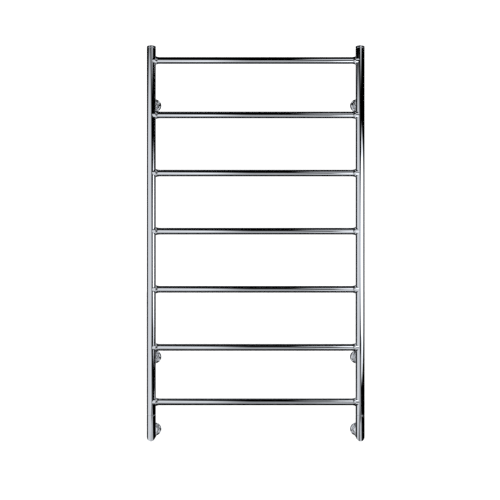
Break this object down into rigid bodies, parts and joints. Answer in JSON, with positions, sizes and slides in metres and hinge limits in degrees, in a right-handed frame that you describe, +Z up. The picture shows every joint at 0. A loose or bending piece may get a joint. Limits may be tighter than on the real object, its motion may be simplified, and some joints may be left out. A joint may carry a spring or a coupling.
{
  "type": "towel warmer rack",
  "caption": "Wall-mounted chrome ladder towel warmer with straight round rungs between two round posts, wall brackets with rosettes, and an elbow to the wall at each foot.",
  "frame": {"origin": "centre of the four wall screws, on the wall's surface", "axes": "+X right as seen from the room, +Y into the wall, +Z up"},
  "size_m": [0.612, 0.1075, 1.092],
  "materials": {
    "chrome_tube": "polished chrome plate on steel tube",
    "chrome_fitting": "polished chrome plate on castings and turned fittings",
    "chrome_rosette": "polished chrome plate on spun sheet",
    "brass": "machined, bare",
    "rubber": "moulded, matt",
    "stainless": "machined stainless"
  },
  "bodies": {
    "wall_fixings": {"upper_left_wall_peg": "brass", "upper_right_wall_peg": "brass", "lower_left_wall_peg": "brass", "lower_right_wall_peg": "brass", "left_wall_nipple": "brass", "right_wall_nipple": "brass", "nipple_o_rings": "rubber"},
    "rail": {"rung_1": "chrome_tube", "rung_2": "chrome_tube", "rung_3": "chrome_tube", "rung_4": "chrome_tube", "rung_5": "chrome_tube", "rung_6": "chrome_tube", "rung_7": "chrome_tube", "left_post": "chrome_tube", "right_post": "chrome_tube", "left_rung_collars": "chrome_tube", "right_rung_collars": "chrome_tube", "left_elbow": "chrome_fitting", "right_elbow": "chrome_fitting", "upper_left_bracket_stem": "chrome_fitting", "upper_right_bracket_stem": "chrome_fitting", "lower_left_bracket_stem": "chrome_fitting", "lower_right_bracket_stem": "chrome_fitting", "plain_cap": "chrome_fitting", "vent_cap": "chrome_fitting", "cap_bushes": "brass", "cap_o_rings": "rubber", "spigot_o_rings": "rubber", "stem_grub_screws": "stainless", "nipple_grub_screws": "stainless", "post_grub_screws": "stainless"},
    "upper_left_rosette": {"upper_left_rosette": "chrome_rosette"},
    "upper_right_rosette": {"upper_right_rosette": "chrome_rosette"},
    "lower_left_rosette": {"lower_left_rosette": "chrome_rosette"},
    "lower_right_rosette": {"lower_right_rosette": "chrome_rosette"},
    "left_elbow_rosette": {"left_elbow_rosette": "chrome_rosette"},
    "right_elbow_rosette": {"right_elbow_rosette": "chrome_rosette"},
    "vent_screw": {"vent_screw": "brass", "vent_seal": "rubber"}
  },
  "joints": [
    {"name": "rail_projection", "type": "slide", "parent": "wall_fixings", "child": "rail", "axis": [0, -1, 0], "range_m": [-0.004, 0.004]},
    {"name": "upper_left_rosette_slide", "type": "slide", "parent": "wall_fixings", "child": "upper_left_rosette", "axis": [0, -1, 0], "range_m": [0, 0.04]},
    {"name": "upper_right_rosette_slide", "type": "slide", "parent": "wall_fixings", "child": "upper_right_rosette", "axis": [0, -1, 0], "range_m": [0, 0.04]},
    {"name": "lower_left_rosette_slide", "type": "slide", "parent": "wall_fixings", "child": "lower_left_rosette", "axis": [0, -1, 0], "range_m": [0, 0.04]},
    {"name": "lower_right_rosette_slide", "type": "slide", "parent": "wall_fixings", "child": "lower_right_rosette", "axis": [0, -1, 0], "range_m": [0, 0.04]},
    {"name": "left_elbow_rosette_slide", "type": "slide", "parent": "wall_fixings", "child": "left_elbow_rosette", "axis": [0, -1, 0], "range_m": [0, 0.04]},
    {"name": "right_elbow_rosette_slide", "type": "slide", "parent": "wall_fixings", "child": "right_elbow_rosette", "axis": [0, -1, 0], "range_m": [0, 0.04]},
    {"name": "vent_screw_turn", "type": "hinge", "parent": "rail", "child": "vent_screw", "pos_m": [-0.2875, -0.08, 0.5], "axis": [0, 0, 1], "range_deg": [0, 540]}
  ]
}
